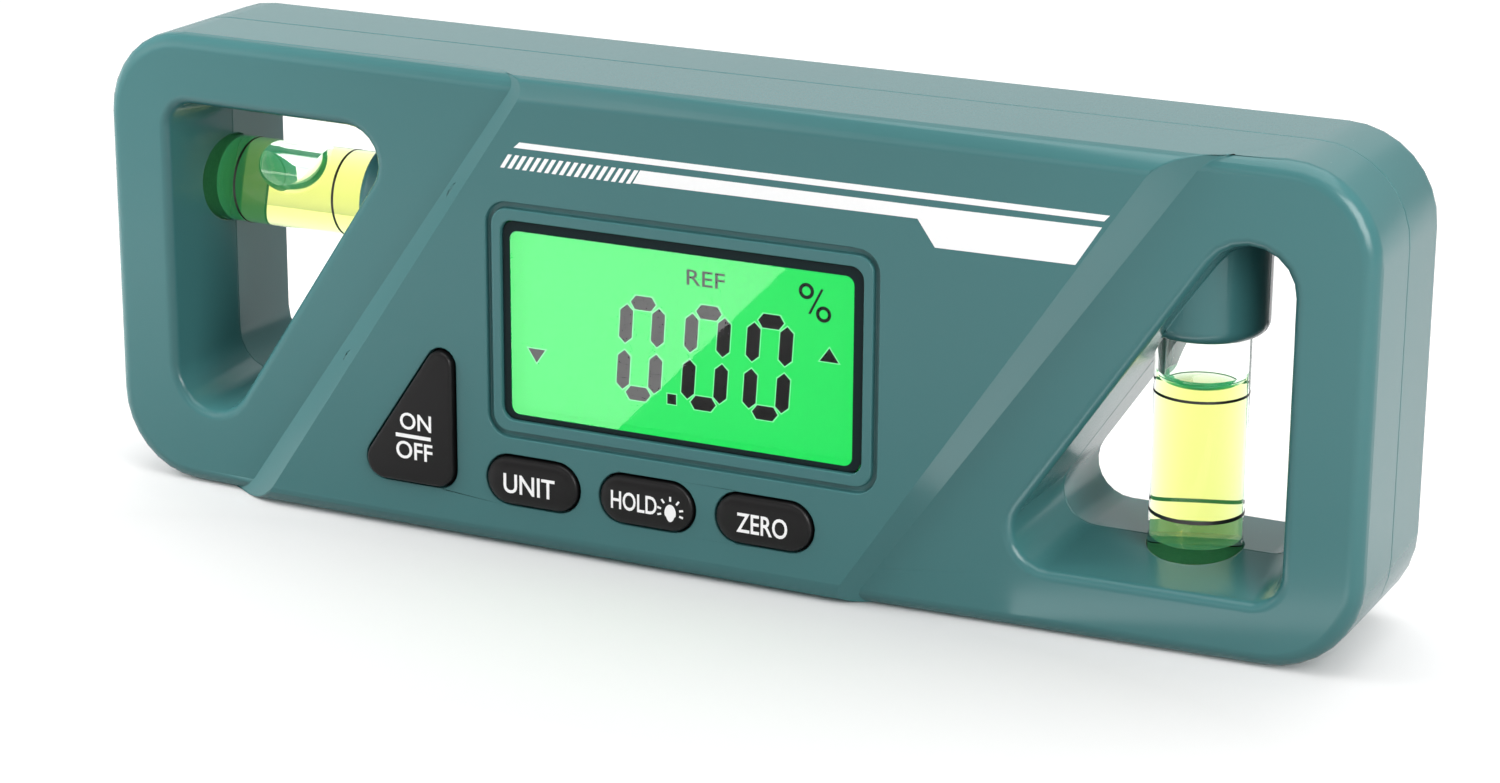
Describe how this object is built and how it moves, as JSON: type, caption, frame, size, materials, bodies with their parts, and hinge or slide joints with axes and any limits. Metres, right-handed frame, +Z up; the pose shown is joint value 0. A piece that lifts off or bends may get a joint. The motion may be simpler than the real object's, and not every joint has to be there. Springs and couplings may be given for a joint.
{
  "type": "digital angle gauge",
  "caption": "Pocket digital angle gauge: flat two-shell body with a lit display, press keys, slanted end windows holding a level vial and a plumb vial, and a flat magnetic base.",
  "frame": {"origin": "bottom centre of the object's box, on the base that it stands on", "axes": "+X along the length, +Y from the display to the back, +Z up from the base"},
  "size_m": [0.15, 0.0256, 0.053],
  "materials": {
    "shell_teal": "satin moulded",
    "lens_clear": "clear polished",
    "lcd_green": "lit green",
    "light_guide": "clear",
    "strip_rubber": "soft",
    "holder_white": "matte",
    "board_green": "satin",
    "chip_black": "matte",
    "key_black": "semi-gloss",
    "vial_clear": "clear polished",
    "vial_fluid": "clear tinted",
    "vial_plug": "clear",
    "cell_jacket": "gloss",
    "contact_steel": "plated",
    "magnet_plate": "plated",
    "screw_steel": "plated"
  },
  "bodies": {
    "housing": {"front_shell": "shell_teal", "rear_shell": "shell_teal", "display_lens": "lens_clear", "lcd_panel": "lcd_green", "backlight": "light_guide", "contact_strip": "strip_rubber", "display_holder": "holder_white", "main_board": "board_green", "control_chip": "chip_black", "tilt_sensor": "chip_black", "key_switches": "chip_black", "level_vial": "vial_clear", "level_fluid": "vial_fluid", "level_plug": "vial_plug", "plumb_vial": "vial_clear", "plumb_fluid": "vial_fluid", "plumb_plug": "vial_plug", "upper_cell": "cell_jacket", "lower_cell": "cell_jacket", "bridge_contact": "contact_steel", "end_contacts": "contact_steel", "cell_springs": "contact_steel", "base_magnets": "magnet_plate", "case_screws": "screw_steel", "board_screws": "screw_steel"},
    "power_key": {"power_key": "key_black"},
    "unit_key": {"unit_key": "key_black"},
    "hold_key": {"hold_key": "key_black"},
    "zero_key": {"zero_key": "key_black"},
    "battery_door": {"battery_door": "shell_teal"}
  },
  "joints": [
    {"name": "power_press", "type": "slide", "parent": "housing", "child": "power_key", "axis": [0, 1, 0], "range_m": [0, 0.0008], "stiffness_N_per_m": 400},
    {"name": "unit_press", "type": "slide", "parent": "housing", "child": "unit_key", "axis": [0, 1, 0], "range_m": [0, 0.0008], "stiffness_N_per_m": 400},
    {"name": "hold_press", "type": "slide", "parent": "housing", "child": "hold_key", "axis": [0, 1, 0], "range_m": [0, 0.0008], "stiffness_N_per_m": 400},
    {"name": "zero_press", "type": "slide", "parent": "housing", "child": "zero_key", "axis": [0, 1, 0], "range_m": [0, 0.0008], "stiffness_N_per_m": 400},
    {"name": "door_lift", "type": "slide", "parent": "housing", "child": "battery_door", "axis": [0, 1, 0], "range_m": [0, 0.02]}
  ]
}
